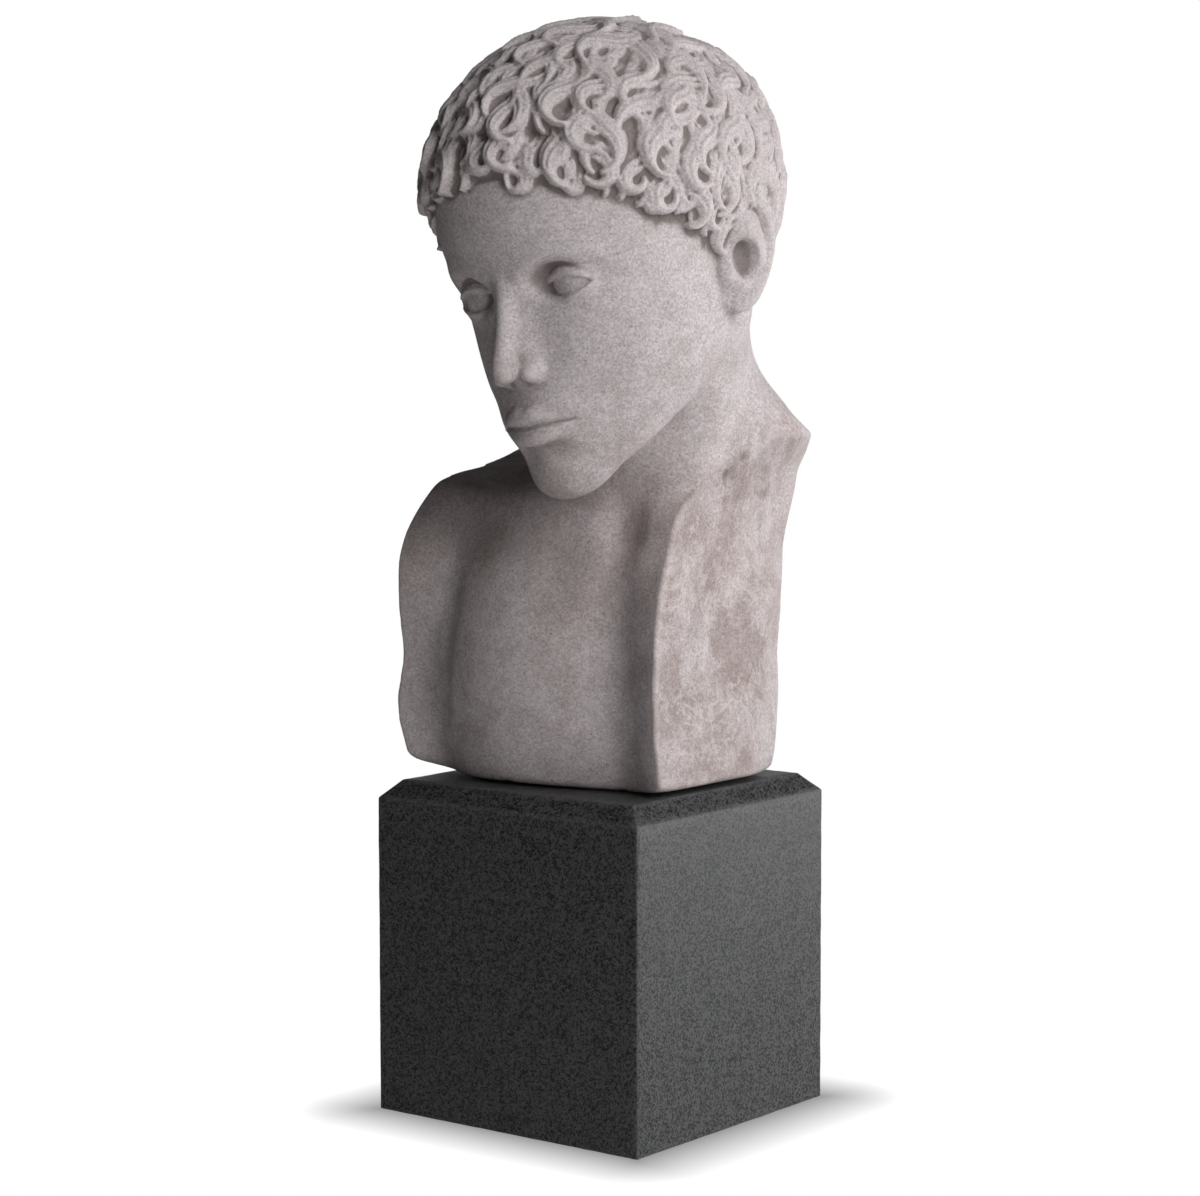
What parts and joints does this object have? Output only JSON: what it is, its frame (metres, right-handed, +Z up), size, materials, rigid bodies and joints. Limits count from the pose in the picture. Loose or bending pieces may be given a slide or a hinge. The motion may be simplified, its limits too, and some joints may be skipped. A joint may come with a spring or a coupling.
{
  "type": "marble bust on a granite block",
  "caption": "Carved marble head and truncated chest of a youth with curly hair, standing on a square dark granite block with chamfered top edges.",
  "frame": {"origin": "middle of the granite block's underside, on the surface it stands on", "axes": "+Z up, -Y the way the chest faces, +X the figure's left"},
  "size_m": [0.2411, 0.2477, 0.6678],
  "materials": {
    "marble": "weathered, hand-finished white marble with a warm grey patina",
    "granite": "honed dark grey granite with black specks"
  },
  "bodies": {
    "root": {"marble_bust": "marble", "granite_plinth": "granite"}
  },
  "joints": []
}
